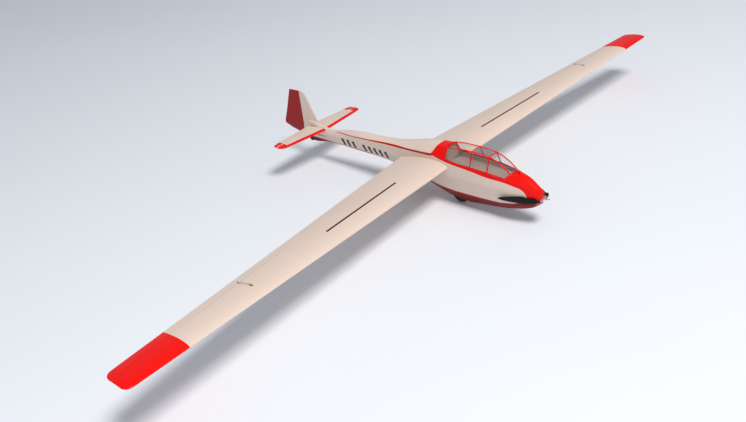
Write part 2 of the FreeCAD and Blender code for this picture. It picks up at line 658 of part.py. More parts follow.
def tail_wire(span, lead_in=0.0, trail_in=0.0):
    lead = TAIL_LEAD_ROOT - TAIL_LEAD_SWEEP * span - lead_in
    trail = TAIL_TRAIL_ROOT + TAIL_TRAIL_SWEEP * span + trail_in
    upper, lower = section_points(lead - trail, TAIL_RATIO, 0.0)
    around = upper[::-1] + lower[1:]
    return section_wire([Vector(lead - back, span, dim("tail_height") + height)
                         for back, height in around])


def tail_half_at_hinge(span):
    chord = (TAIL_LEAD_ROOT - TAIL_LEAD_SWEEP * span) - (TAIL_TRAIL_ROOT + TAIL_TRAIL_SWEEP * span)
    share = (TAIL_LEAD_ROOT - TAIL_LEAD_SWEEP * span - dim("elevator_hinge")) / chord
    return half_thickness(share, TAIL_RATIO) * chord


def hinge_spot(span):
    return Vector(dim("elevator_hinge"), span, dim("tail_height"))


tail_outer = Part.makeLoft([tail_wire(5.0), tail_wire(ELEVATOR_END)], True, True)
tail_outer = tail_outer.fuse(Part.makeLoft([tail_wire(*step) for step in TAIL_TIP], True, True))
elevator_room = block((-980.0, 0.0, -30.0), (dim("elevator_hinge"), ELEVATOR_END + 0.8, 30.0))
elevator_cove = tapered_nose(hinge_spot(0.0), hinge_spot(ELEVATOR_END + 0.8),
                             tail_half_at_hinge(0.0) + SURFACE_GAP,
                             tail_half_at_hinge(ELEVATOR_END) + SURFACE_GAP)
elevator_nose = tapered_nose(hinge_spot(ELEVATOR_START), hinge_spot(ELEVATOR_END),
                             tail_half_at_hinge(ELEVATOR_START) - 0.1,
                             tail_half_at_hinge(ELEVATOR_END) - 0.1)
TAIL_JOINER_STATION, TAIL_JOINER_REACH, TAIL_JOINER_RADIUS = -858.0, 62.0, 2.0
tail_joiner = rod((TAIL_JOINER_STATION, -TAIL_JOINER_REACH, dim("tail_height")),
                  (TAIL_JOINER_STATION, TAIL_JOINER_REACH, dim("tail_height")), TAIL_JOINER_RADIUS)
TORQUE_RADIUS, TORQUE_REACH = 1.5, 30.0
torque_rod = rod(hinge_spot(-TORQUE_REACH), hinge_spot(TORQUE_REACH), TORQUE_RADIUS)
torque_bore = rod(hinge_spot(-40.0), hinge_spot(40.0), TORQUE_RADIUS + dim("bore_play"))
tailplane_shape = largest(tail_outer.cut([elevator_room, elevator_cove, body_outer, tail_joiner]))
elevator_shape = tail_outer.common(block((-980.0, ELEVATOR_START, -30.0),
                                         (dim("elevator_hinge"), ELEVATOR_END, 30.0)))
elevator_shape = largest(elevator_shape.fuse(elevator_nose).removeSplitter().cut(torque_rod))
span_axis = Vector(0, 1, 0)
downward = Vector(0, 0, -1)
elevator_pivot = hinge_spot(0.0)
elevator_horn = lever(elevator_pivot, span_axis, downward, TAIL_HORN, hub=3.2)
elevator_joiner = fused([torque_rod, elevator_horn])
elevator_servo_pivot = Vector(-150.0, 0.0, -4.0)
elevator_arm = lever(elevator_servo_pivot, span_axis, downward, TAIL_HORN, bore=1.3)
elevator_rod = link_rod(elevator_servo_pivot + downward * TAIL_HORN,
                        elevator_pivot + downward * TAIL_HORN, span_axis)

skid_shape = prism_xz([(-922.0, -56.0), (-966.0, -56.0), (-966.0, -84.0), (-956.0, -90.0),
                       (-940.0, -84.0)], -4.0, 4.0).cut(body_outer)
skid_shape = largest(skid_shape)

# The fuselage shell: one moulding, with everything that passes through it cut last.
SCREW_CLEARANCE = 1.6
nose_hole = rod((440.0, 0.0, dim("shaft_height")), (460.0, 0.0, dim("shaft_height")), 9.0)
shell = body_outer.cut(body_inner)
for _, side in SIDES:
    shell = shell.fuse(root_stub(side).cut(body_outer))
joiner_bores = [rod(*joiner_line(90.0, side), dim("joiner_radius") + 0.1) for _, side in SIDES]
locator_line = ((LOCATOR_STATION, -84.0, 4.0), (LOCATOR_STATION, 84.0, 4.0))
screw_circle = dim("motor_bolt_circle") / 2
screw_fronts = []
for turn in range(4):
    angle = math.radians(90.0 * turn)
    screw_fronts.append(Vector(STATIONS[0][0], screw_circle * math.cos(angle),
                               dim("shaft_height") + screw_circle * math.sin(angle)))
screw_bores = [rod(front - Vector(8.0, 0, 0), front + Vector(8.0, 0, 0), SCREW_CLEARANCE)
               for front in screw_fronts]
shell = shell.cut([cockpit_cut, wheel_slot, nose_hole, rudder_cove, horn_slot, exit_slot,
                   tail_joiner, torque_bore, rod(*locator_line, LOCATOR_RADIUS)] + joiner_bores
                  + screw_bores)
shell = largest(shell)

feature("fin", fin_shape)
feature("rudder", rudder_shape.cut(rudder_horn))
feature("rudder_horn", rudder_horn)
feature("rudder_servo_arm", rudder_arm)
feature("rudder_rod", rudder_rod)
feature("elevator_joiner", elevator_joiner)
feature("elevator_servo_arm", elevator_arm)
feature("elevator_rod", elevator_rod)
for name, side in SIDES:
    feature(f"{name}_tailplane", mirrored(tailplane_shape, side))
    feature(f"{name}_elevator", mirrored(elevator_shape, side))
feature("tail_skid", skid_shape)

# --------------------------------------------------------------------------------- canopy

# Station, then half-width and height of the shoulder rail and of the sill tube.
CANOPY_ROWS = (
    (-9.0, 31.0, 89.0, 56.2, 41.8), (50.0, 29.6, 96.0, 56.6, 34.2), (125.0, 28.6, 97.2, 55.6, 33.2),
    (170.0, 28.0, 96.0, 54.2, 30.4), (214.0, 27.3, 91.6, 52.6, 27.2), (250.0, 26.7, 79.6, 50.4, 23.4),
    (285.0, 26.0, 60.2, 47.8, 18.4),
)
FRONT_SILL = Vector(296.0, 46.6, 14.6)
FRONT_RAIL = Vector(317.4, 25.3, 32.2)
FRONT_TOP = Vector(327.0, 0.0, 40.8)
HOOP_ROWS = (0, 2, 4)
HINGE_LINE = Vector(-12.4, 0.0, 93.2)
BARREL_RADIUS, CANOPY_PIN = 1.7, 0.8


def row_points(row):
    station, rail_wide, rail_high, sill_wide, sill_high = row
    return Vector(station, sill_wide, sill_high), Vector(station, rail_wide, rail_high)


sill_points = [row_points(row)[0] for row in CANOPY_ROWS] + [FRONT_SILL]
rail_points = [row_points(row)[1] for row in CANOPY_ROWS] + [FRONT_RAIL]
top_points = [Vector(point.x, 0, point.z) for point in rail_points[:-1]] + [FRONT_TOP]


def across(point):
    """The same point on the other side of the model."""
    return Vector(point.x, -point.y, point.z)


def tube_run(points):
    """A bent tube along straight runs, with a ball at each bend."""
    radius = dim("frame_radius")
    shapes = [rod(first, second, radius) for first, second in zip(points, points[1:])]
    return shapes + [Part.makeSphere(radius, point) for point in points]


frame_shapes = tube_run([FRONT_RAIL, FRONT_TOP, across(FRONT_RAIL)])
for flip in (lambda point: point, across):
    frame_shapes += tube_run([flip(point) for point in rail_points])
    frame_shapes += tube_run([flip(point) for point in sill_points])
    frame_shapes += tube_run([flip(FRONT_SILL), flip(FRONT_RAIL)])
    for index in HOOP_ROWS:
        frame_shapes += tube_run([flip(sill_points[index]), flip(rail_points[index])])
for index in HOOP_ROWS:
    frame_shapes += tube_run([rail_points[index], across(rail_points[index])])
moving_leaf = block((-11.0, -6.3, 90.2), (-6.0, 6.3, 93.0))
moving_knuckle = rod(HINGE_LINE - span_axis * 6.3, HINGE_LINE + span_axis * 6.3, BARREL_RADIUS)
pin_bore = rod(HINGE_LINE - span_axis * 24, HINGE_LINE + span_axis * 24,
               CANOPY_PIN + dim("bore_play"))
canopy_frame = fused(frame_shapes + [moving_leaf, moving_knuckle]).cut(pin_bore)


def pane_wire(index, half_gap):
    """The thin section of the canopy's panes at one station: out along one side, back inside."""
    sill, rail, top = sill_points[index], rail_points[index], top_points[index]
    lean = Vector(0, half_gap, 0)
    over = Vector(0, half_gap * 0.6, half_gap)
    outside = [sill + lean, rail + over, top + Vector(0, 0, half_gap)]
    inside = [sill - lean, rail - over, top - Vector(0, 0, half_gap)]
    loop = outside + [across(point) for point in outside[1::-1]]
    loop += [across(point) for point in inside[:2]] + inside[::-1]
    return Part.makePolygon(loop + loop[:1])


panes = Part.makeLoft([pane_wire(index, dim("pane_thickness") / 2)
                       for index in range(len(rail_points))], True, True)
panes = panes.cut(canopy_frame)

# The fixed half of the canopy's hinge, let into the roof behind it, with its pin.
hinge_seat = block((-22.0, -19.0, 89.6), (-14.2, 19.0, 92.4))
fixed_hinge = [hinge_seat]
for flip in (1, -1):
    knuckle = rod(HINGE_LINE + span_axis * 6.7 * flip, HINGE_LINE + span_axis * 19.0 * flip,
                  BARREL_RADIUS)
    ear = block((-17.0, min(6.7 * flip, 19.0 * flip), 91.4), (-12.4, max(6.7 * flip, 19.0 * flip),
                                                              93.2))
    fixed_hinge += [knuckle, ear]
hinge_pin = rod(HINGE_LINE - span_axis * 19.6, HINGE_LINE + span_axis * 19.6, CANOPY_PIN)
hinge_leaf = largest(fused(fixed_hinge)).cut(hinge_pin)
feature("canopy_frame", canopy_frame)
feature("canopy_panes", panes)
feature("canopy_hinge", Part.makeCompound([hinge_leaf, hinge_pin]))

# The latch: a knob on a pin that slides down the slope of the nose, away from the canopy.
LATCH_SPOT = Vector(343.0, -5.0, 37.4)
LATCH_SLOPE = math.radians(19.9)
LATCH_TRAVEL = 7.0
latch_along = Vector(math.cos(LATCH_SLOPE), 0, -math.sin(LATCH_SLOPE))
latch_up = Vector(math.sin(LATCH_SLOPE), 0, math.cos(LATCH_SLOPE))
latch_middle = LATCH_SPOT - latch_up * 7.0
latch_pin = rod(latch_middle - latch_along * 13.0, latch_middle + latch_along * 9.0, 1.5)
latch_stem = rod(latch_middle, LATCH_SPOT + latch_up * 3.5, 1.1)
latch_knob = rod(LATCH_SPOT + latch_up * 1.2, LATCH_SPOT + latch_up * 4.6, 2.7)
latch_guide = rod(latch_middle - latch_along * 8.0, latch_middle + latch_along * 20.0, 3.0)
latch_path = fused([rod(latch_middle - latch_along * 14.0, latch_middle + latch_along * 17.5,
                        1.5 + dim("bore_play"))]
                   + [rod(latch_middle + latch_along * step, LATCH_SPOT + latch_along * step
                          + latch_up * 9.0, 1.6) for step in (0.0, LATCH_TRAVEL + 0.4)])
stem_room = Part.makeBox(LATCH_TRAVEL + 0.4, 3.2, 18.0, Vector(0, -1.6, 0))
stem_room.Placement = Placement(latch_middle, Rotation(latch_along, Vector(0, 1, 0), latch_up,
                                                       "XZY"))
latch_path = latch_path.fuse(stem_room)
shell = largest(shell.fuse(latch_guide.common(body_outer)).cut([latch_path, hinge_seat]))
feature("fuselage_shell", shell)
feature("canopy_latch", fused([latch_pin, latch_stem, latch_knob]))

# --------------------------------------------------------------- inside of the fuselage

WALL = 250.0


def bulkhead(station, low, high, hole_radius=0.0, hole_height=0.0):
    """A plywood former that fills the fuselage's inside between two heights."""
    thick = dim("former_thickness")
    slab = block((station - thick / 2, -WALL, low), (station + thick / 2, WALL, high))
    shape = body_room.common(slab)
    if hole_radius:
        shape = shape.cut(rod((station - thick, 0, hole_height), (station + thick, 0, hole_height),
                              hole_radius))
    return outward(largest(shape))


wheel_station = dim("wheel_station")
formers = [bulkhead(345.5, -WALL, 20.0, 20.0, -50.0), bulkhead(-15.5, -92.0, WALL, 8.0, -60.0),
           bulkhead(wheel_station + 62.0, -WALL, -95.0), bulkhead(-125.0, -WALL, WALL, 34.0, -20.0),
           bulkhead(-292.0, -WALL, WALL, 26.0, -22.0), bulkhead(-560.0, -WALL, WALL, 17.5, -24.0)]
feature("formers", Part.makeCompound(formers))

BRACKET_INNER, BRACKET_OUTER = 14.2, 17.2
bracket = body_room.common(block((wheel_station - 48.0, BRACKET_INNER, -WALL),
                                 (wheel_station + 58.0, BRACKET_OUTER, -98.0)))
bracket = largest(bracket.cut(rod(*axle_line, dim("axle_radius"))))
feature("wheel_brackets", both_sides(bracket))

TRAY_HEIGHT = -84.0
equipment_tray = largest(body_room.common(block((85.0, -WALL, TRAY_HEIGHT),
                                                (340.0, WALL, TRAY_HEIGHT + 3.0))))
feature("equipment_tray", equipment_tray)

liner_core = hollow(dim("body_skin") + 1.75)
FLOOR_REAR, FLOOR_FRONT, FLOOR_THICKNESS = 14.0, -4.0, 1.5
LINER_REAR, LINER_FRONT = -13.5, 296.0
floor_line = [(LINER_REAR, FLOOR_REAR), (LINER_FRONT, FLOOR_FRONT)]
under_floor = [(x, z - FLOOR_THICKNESS) for x, z in floor_line[::-1]]
rim_line = [(LINER_REAR, SILL[0][1] - 1.0)] + [(x, z - 1.0) for x, z in SILL[1:-1]]
rim_line.append((LINER_FRONT, SILL[-1][1] - 1.0))
liner_zone = prism_xz(rim_line + under_floor, -90.0, 90.0)
liner_hollow = prism_xz([(LINER_REAR - 5.0, 90.0), (LINER_FRONT - 1.5, 90.0),
                         (LINER_FRONT - 1.5, FLOOR_FRONT), (LINER_REAR - 5.0, FLOOR_REAR + 0.3)],
                        -90.0, 90.0).common(liner_core)
cockpit_liner = largest(body_room.common(liner_zone).cut(liner_hollow))
feature("cockpit_liner", cockpit_liner)


def primitive(kind, label, sizes, spot, rotation=Rotation()):
    """A Part primitive whose sizes are sheet expressions or plain numbers."""
    part = doc.addObject(f"Part::{kind}", label)
    part.Label = label
    for name, value in sizes.items():
        if isinstance(value, str):
            part.setExpression(name, value)
        else:
            setattr(part, name, value)
    return settle(part, spot, rotation)


TO_SIDE = Rotation(Vector(1, 0, 0), -90)
primitive("Box", "battery", {"Length": 118.0, "Width": 44.0, "Height": 33.0},
          (196.0, -22.0, TRAY_HEIGHT + 3.0))
primitive("Box", "speed_controller", {"Length": 60.0, "Width": 28.0, "Height": 12.0},
          (128.0, -36.0, TRAY_HEIGHT + 3.0))
primitive("Box", "receiver", {"Length": 42.0, "Width": 24.0, "Height": 14.0},
          (132.0, 6.0, TRAY_HEIGHT + 3.0))
primitive("Cylinder", "wheel_axle", {"Radius": "dims.axle_radius", "Height": 36.0},
          (wheel_station, -18.0, WHEEL_HEIGHT), TO_SIDE)
SHAFT_REAR = 398.0
shaft_step = dim("shaft_end") - dim("spigot_length")
feature("motor_shaft", fused([rod((SHAFT_REAR, 0.0, dim("shaft_height")),
                                  (shaft_step, 0.0, dim("shaft_height")), dim("shaft_radius")),
                              rod((shaft_step, 0.0, dim("shaft_height")),
                                  (dim("shaft_end"), 0.0, dim("shaft_height")),
                                  dim("spigot_radius"))]))

servo_blocks = [block((-170.0, -39.0, -14.0), (-130.0, -1.4, 6.0)),
                rod(elevator_servo_pivot - span_axis * 1.4, elevator_servo_pivot + span_axis * 0.8,
                    1.2)]
rudder_block = Part.makeBox(40.0, 20.0, 38.0, Vector(-30.0, -10.0, -39.4))
rudder_block.Placement = Placement(rudder_servo_pivot, Rotation(Vector(0, 1, 0),
                                                                math.degrees(math.asin(rudder_axis.x))))
rudder_output = rod(rudder_servo_pivot - rudder_axis * 1.4, rudder_servo_pivot + rudder_axis * 0.8,
                    1.2)
feature("tail_servos", Part.makeCompound([fused(servo_blocks), fused([rudder_block,
                                                                      rudder_output])]))

joiner_rod = fused([rod(*joiner_line(JOINER_REACH - 2.0, side), dim("joiner_radius"))
                    for _, side in SIDES] + [Part.makeSphere(dim("joiner_radius"),
                                                             joiner_line(1.0)[0])])
feature("wing_joiner", joiner_rod)
locator = rod((LOCATOR_STATION, 40.0, 4.0), (LOCATOR_STATION, 83.0, 4.0), LOCATOR_RADIUS)
feature("locating_pins", both_sides(locator))
feature("tailplane_joiner", tail_joiner)


# ------------------------------------------------------------- turned and machined pieces

def new_body(label):
    body = doc.addObject("PartDesign::Body", label)
    body.Label = label
    return body


def sketch_on(body, role, name):
    plane = [item for item in body.Origin.OriginFeatures if item.Role == role][0]
    sketch = body.newObject("Sketcher::SketchObject", name)
    sketch.AttachmentSupport = [(plane, "")]
    sketch.MapMode = "FlatFace"
    return sketch


def add_circle(sketch, centre, radius, expression=None):
    index = sketch.addGeometry(Part.Circle(Vector(*centre, 0), Vector(0, 0, 1), radius), False)
    rule = sketch.addConstraint(Sketcher.Constraint("Radius", index, radius))
    if expression:
        sketch.setExpression(f"Constraints[{rule}]", expression)


def add_outline(sketch, points):
    for first, second in zip(points, points[1:] + points[:1]):
        sketch.addGeometry(Part.LineSegment(Vector(*first, 0), Vector(*second, 0)), False)


def pad(body, sketch, name, length, symmetric=False):
    result = body.newObject("PartDesign::Pad", name)
    result.Profile = sketch
    if symmetric:
        result.SideType = "Symmetric"
    if isinstance(length, str):
        result.setExpression("Length", length)
    else:
        result.Length = length
    return result


def pocket_through(body, sketch, name):
    result = body.newObject("PartDesign::Pocket", name)
    result.Profile = sketch
    result.Type = "ThroughAll"
    result.SideType = "Symmetric"
    return result


def revolve(body, sketch, name):
    result = body.newObject("PartDesign::Revolution", name)
    result.Profile = sketch
    result.ReferenceAxis = (sketch, ["V_Axis"])
    result.Angle = 360.0
    return result


# Main wheel: profiles have the radius along X and the width along Y.
tyre = new_body("main_tyre")
tyre_sketch = sketch_on(tyre, "XY_Plane", "tyre_profile")
radius, half_width = dim("wheel_radius"), dim("wheel_width") / 2
BEAD_RADIUS, SHOULDER_RADIUS = 28.0, 39.0
add_outline(tyre_sketch, [(BEAD_RADIUS, -7.5), (BEAD_RADIUS, 7.5), (31.0, 9.0),
                          (SHOULDER_RADIUS - 3, half_width), (SHOULDER_RADIUS, half_width),
                          (43.0, 9.4), (45.2, 7.6), (radius, 5.8), (radius, -5.8), (45.2, -7.6),
                          (43.0, -9.4), (SHOULDER_RADIUS, -half_width),
                          (SHOULDER_RADIUS - 3, -half_width), (31.0, -9.0)])
revolve(tyre, tyre_sketch, "tyre_turn")
settle(tyre, (wheel_station, 0.0, WHEEL_HEIGHT))

hub = new_body("main_wheel_hub")
hub_sketch = sketch_on(hub, "XY_Plane", "hub_profile")
hub_bore = dim("axle_radius") + dim("bore_play")
add_outline(hub_sketch, [(hub_bore, -12.5), (hub_bore, 12.5), (7.5, 12.5), (8.5, 3.0),
                         (23.0, 2.2), (24.5, 7.5), (BEAD_RADIUS, 7.5), (BEAD_RADIUS, -7.5),
                         (24.5, -7.5), (23.0, -2.2), (8.5, -3.0), (7.5, -12.5)])
revolve(hub, hub_sketch, "hub_turn")
settle(hub, (wheel_station, 0.0, WHEEL_HEIGHT))

# The motor and, in front of it, the ring glued behind the nose's front wall. In both, X = 0 is
# the front face.
MOTOR_FRONT = 446.0


def circle_of_holes(body, radius, depth, name):
    """Four equal holes round the shaft, cut backwards from the front face."""
    hole_sketch = sketch_on(body, "YZ_Plane", f"{name}_sketch")
    add_circle(hole_sketch, (dim("motor_bolt_circle") / 2, 0), radius)
    holes = body.newObject("PartDesign::Pocket", f"{name}_pocket")
    holes.Profile = hole_sketch
    holes.Length = depth
    pattern = body.newObject("PartDesign::PolarPattern", f"{name}_pattern")
    pattern.Originals = [holes]
    axis = [item for item in body.Origin.OriginFeatures if item.Role == "X_Axis"][0]
    pattern.Axis = (axis, [""])
    pattern.Angle, pattern.Occurrences = 360.0, 4
    body.Tip = pattern


def disc_behind(label, outer, outer_rule, bore, length):
    """A round body that runs backwards from its front face, with a bore through it."""
    body = new_body(label)
    outline = sketch_on(body, "YZ_Plane", f"{label}_outline")
    add_circle(outline, (0, 0), outer, outer_rule)
    add_circle(outline, (0, 0), bore)
    pad(body, outline, f"{label}_pad", length).Reversed = True
    return body


motor = disc_behind("motor_case", dim("motor_radius"), "dims.motor_radius",
                    dim("shaft_radius") + dim("bore_play"), "dims.motor_length")
circle_of_holes(motor, dim("motor_screw") + 0.05, 7.0, "case_hole")
settle(motor, (MOTOR_FRONT, 0.0, dim("shaft_height")))
ring = disc_behind("motor_ring", 15.6, None, 7.0, "dims.firewall_thickness")
circle_of_holes(ring, SCREW_CLEARANCE, 10.0, "ring_hole")
settle(ring, (MOTOR_FRONT + dim("firewall_thickness"), 0.0, dim("shaft_height")))

screws = []
for front in screw_fronts:
    screw = rod(front - Vector(11.0, 0, 0), front, dim("motor_screw"))
    head = rod(front, front + Vector(1.9, 0, 0), 2.7)
    socket = rod(front + Vector(0.9, 0, 0), front + Vector(2.5, 0, 0), 1.2)
    screws.append(screw.fuse(head).cut(socket))
feature("motor_screws", Part.makeCompound(screws))

# Propeller: local X is the shaft, Y the arm of one blade, Z that blade's hinge axis.
YOKE_HALF, EAR_RADIUS, SLOT_HALF, SLOT_FLOOR = 6.0, 5.6, 3.15, 5.3
HUB_RADIUS = 9.0
yoke = new_body("propeller_yoke")
yoke_sketch = sketch_on(yoke, "XY_Plane", "yoke_outline")
arm_end = dim("blade_pivot")
add_outline(yoke_sketch, [(-YOKE_HALF, -HUB_RADIUS), (-4.6, -arm_end), (-3.2, -arm_end - 4.2),
                          (0.0, -arm_end - EAR_RADIUS), (3.2, -arm_end - 4.2), (4.6, -arm_end),
                          (YOKE_HALF, -HUB_RADIUS), (YOKE_HALF, HUB_RADIUS), (4.6, arm_end),
                          (3.2, arm_end + 4.2), (0.0, arm_end + EAR_RADIUS),
                          (-3.2, arm_end + 4.2), (-4.6, arm_end), (-YOKE_HALF, HUB_RADIUS)])
pad(yoke, yoke_sketch, "yoke_pad", 12.0, True)
slot_sketch = sketch_on(yoke, "YZ_Plane", "blade_slots")
for flip in (1, -1):
    near, far = flip * (arm_end - SLOT_FLOOR), flip * (arm_end + 12.0)
    add_outline(slot_sketch, [(near, -SLOT_HALF), (near, SLOT_HALF), (far, SLOT_HALF),
                              (far, -SLOT_HALF)])
pocket_through(yoke, slot_sketch, "slot_pocket")
bore_sketch = sketch_on(yoke, "YZ_Plane", "shaft_bore")
add_circle(bore_sketch, (0, 0), dim("shaft_radius"), "dims.shaft_radius")
pocket_through(yoke, bore_sketch, "shaft_pocket")
pin_sketch = sketch_on(yoke, "XY_Plane", "pin_bores")
for flip in (1, -1):
    add_circle(pin_sketch, (0, flip * arm_end), dim("pin_radius"), "dims.pin_radius")
pocket_through(yoke, pin_sketch, "pin_pocket")
yoke_rotation = Rotation(Vector(1, 0, 0), 180.0 + dim("yoke_turn"))
shaft_centre = Vector(dim("yoke_station"), 0.0, dim("shaft_height"))
settle(yoke, tuple(shaft_centre), yoke_rotation)

nut = new_body("propeller_nut")
nut_sketch = sketch_on(nut, "YZ_Plane", "nut_outline")
NUT_CORNER = 5.8
add_outline(nut_sketch, [(NUT_CORNER * math.cos(math.radians(60 * turn)),
                          NUT_CORNER * math.sin(math.radians(60 * turn))) for turn in range(6)])
add_circle(nut_sketch, (0, 0), dim("shaft_radius"), "dims.shaft_radius")
pad(nut, nut_sketch, "nut_pad", 7.0)
settle(nut, (dim("yoke_station") + YOKE_HALF, 0.0, dim("shaft_height")))

# Blade stations: distance from the hinge, chord, thickness and pitch in degrees.
BLADE_STATIONS = ((3.5, 5.6, 7.6, 0.0), (9.0, 5.8, 7.2, 0.0), (20.0, 18.0, 6.2, 14.0),
                  (42.0, 28.5, 4.8, 18.0), (75.0, 32.0, 3.8, 16.0), (115.0, 30.5, 3.0, 13.0),
                  (155.0, 24.0, 2.3, 10.0), (182.0, 14.5, 1.6, 8.5))
BLADE_TIP = (3.4, 1.0, 8.0)
BOSS_RADIUS, BOSS_HALF = 4.6, 2.95


def blade_shape(side):
    """A folded blade: it points back along the nose, its face turned towards the nose."""
    turn = math.radians(dim("yoke_turn"))
    out = Vector(0, side * math.cos(turn), side * math.sin(turn))
    pivot = shaft_centre + out * dim("blade_pivot")
    hinge = Vector(-1, 0, 0).cross(out)
    fold = math.radians(dim("blade_fold"))
    along = Vector(-math.cos(fold), 0, 0) + out * math.sin(fold)
    normal = out * math.cos(fold) + Vector(math.sin(fold), 0, 0)
    sections = []
    for reach, chord, thick, pitch in BLADE_STATIONS + ((dim("blade_length"), *BLADE_TIP),):
        angle = math.radians(pitch)
        lead = hinge * -math.cos(angle) + normal * math.sin(angle)
        rise = normal * math.cos(angle) + hinge * math.sin(angle)
        centre = pivot + along * reach
        outline = ((0.5, 0.0), (0.38, 0.42), (0.12, 0.62), (-0.2, 0.42), (-0.5, 0.02),
                   (-0.5, -0.08), (-0.15, -0.22), (0.2, -0.38), (0.42, -0.3))
        poles = [centre + lead * (a * chord) + rise * (b * thick) for a, b in outline]
        curve = Part.BSplineCurve()
        curve.interpolate(poles, True)
        sections.append(Part.Wire(curve.toShape()))
    body = Part.makeLoft(sections, True, False)
    boss = Part.makeCylinder(BOSS_RADIUS, 2 * BOSS_HALF, pivot - hinge * BOSS_HALF, hinge)
    hole = Part.makeCylinder(dim("pin_radius") + dim("bore_play"), 20.0, pivot - hinge * 10, hinge)
    pin = Part.makeCylinder(dim("pin_radius"), 12.0, pivot - hinge * 6.0, hinge)
    return body.fuse(boss).cut(hole), pin


port_blade, port_pin = blade_shape(PORT)
starboard_blade, starboard_pin = blade_shape(STARBOARD)
feature("port_blade", port_blade)
feature("starboard_blade", starboard_blade)
feature("blade_pins", Part.makeCompound([port_pin, starboard_pin]))

# -------------------------------------------------------------------------- check and write

doc.recompute()
for item in doc.Objects:
    if "Invalid" in item.State or "Error" in item.State:
        raise RuntimeError(f"{item.Label} did not build: {item.State}")
for part in parts:
    if part.Shape.isNull() or not part.Shape.isValid():
        raise RuntimeError(f"{part.Label} has no valid shape")
os.makedirs("parts", exist_ok=True)
for part in parts:
    part.Shape.exportStep(os.path.join("parts", part.Label + ".step"))
print(len(parts), "sub-parts written")
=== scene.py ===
"""Looks of a radio-controlled sailplane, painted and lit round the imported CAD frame.

The stage is in metres and colours are linear RGB. Paint outlines are in millimetres from the wing
datum, a point of the airframe that the frame's own boxes locate.
"""

import bpy
from mathutils import Matrix, Vector


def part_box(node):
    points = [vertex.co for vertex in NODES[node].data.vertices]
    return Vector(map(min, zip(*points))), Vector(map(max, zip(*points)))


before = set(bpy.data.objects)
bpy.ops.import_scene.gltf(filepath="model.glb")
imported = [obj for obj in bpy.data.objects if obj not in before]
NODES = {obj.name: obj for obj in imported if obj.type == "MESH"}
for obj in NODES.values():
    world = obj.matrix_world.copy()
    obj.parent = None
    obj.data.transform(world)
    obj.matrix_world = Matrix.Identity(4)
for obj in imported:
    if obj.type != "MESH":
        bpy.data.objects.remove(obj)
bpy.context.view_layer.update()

# The wing datum: the shaft's end is 486 mm ahead of it and the wheel's bottom 190.5 mm below.
SHAFT_END_AHEAD = 0.486
WHEEL_BELOW = 0.1905
DATUM = Vector((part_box("motor_shaft")[1].x - SHAFT_END_AHEAD, 0.0,
                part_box("main_tyre")[0].z + WHEEL_BELOW))

CREAM = (0.73, 0.585, 0.50)
RED = (0.82, 0.005, 0.002)
LINE_RED = (0.50, 0.003, 0.002)
# Painted shade: the rudder's red, darker than the red paint to stand in for the shade on its side.
RUDDER_SHADE_RED = (0.34, 0.004, 0.002)
# Painted shade: a darker red for the lower belly and the chin under the blades, which face away
# from the light.
BELLY_SHADE_RED = (0.19, 0.002, 0.001)
SEAL_RED = (0.13, 0.006, 0.010)
BRAKE_RED = (0.10, 0.003, 0.004)
SEAM_BROWN = (0.1, 0.05, 0.04)
HINGE_TAPE = (0.42, 0.34, 0.29)
WHITE = (0.95, 0.93, 0.9)
LINER = (0.55, 0.45, 0.40)
BLACK = (0.012, 0.012, 0.013)
BLADE_BLACK = (0.004, 0.004, 0.004)
YOKE_BLACK = (0.012, 0.011, 0.011)
BARE_ALLOY = (0.80, 0.80, 0.81)

EDGE_BLUR = 0.35        # width over which one paint turns into the next, mm
MM_PER_M = 1000.0

# Fuselage paint, mm from the wing datum.
NOSE_START = 397.0      # ahead of this the whole nose is red
# Ahead of the chin's start and under its top, the nose's underside gets painted shade.
CHIN_SHADE_START, CHIN_SHADE_TOP = 380.0, -84.0
BELLY_LIT_BAND = 6.0        # band along the belly paint's upper edge left lighter; below it the belly gets painted shade
STRIP_FRONT, STRIP_REAR = -84.0, -835.0
STRIP_INNER = 11.0      # the strip stays off the flat seat under the tailplane
SEAM_HALF, SEAM_BLUR, SEAM_STRENGTH = 0.25, 0.3, 0.25
BAR_PITCH, BAR_HALF, BAR_SLANT = 38.0, 8.6, 0.22
BAR_REARMOST, BARS_REAR, BARS_FRONT = -700.0, -712.0, -384.0
BAR_GAP, BAR_GAP_HALF = -586.0, 12.0
BAR_MIDDLE, BAR_HALF_HEIGHT = -34.3, 18.5

# Wing and tail paint, mm from the wing datum.
WING_TIP_START = 1438.0
SEAL_INNER, SEAL_OUTER, SEAL_HALF = 306.0, 744.5, 5.6
TAIL_TIP_START, TAIL_TIP_SLANT, TAIL_TIP_STATION = 228.0, 0.10, -880.0
TAPE_STATION, TAPE_HALF, TAPE_INNER = -896.5, 2.6, 24.0
DOT_PITCH, DOT_HALF = 14.0, 3.6

YOKE_BLACK_START = 7.0
REAR_FORMER, REAR_FORMER_HALF = -15.5, 4.0


# ------------------------------------------------------------------------------- materials

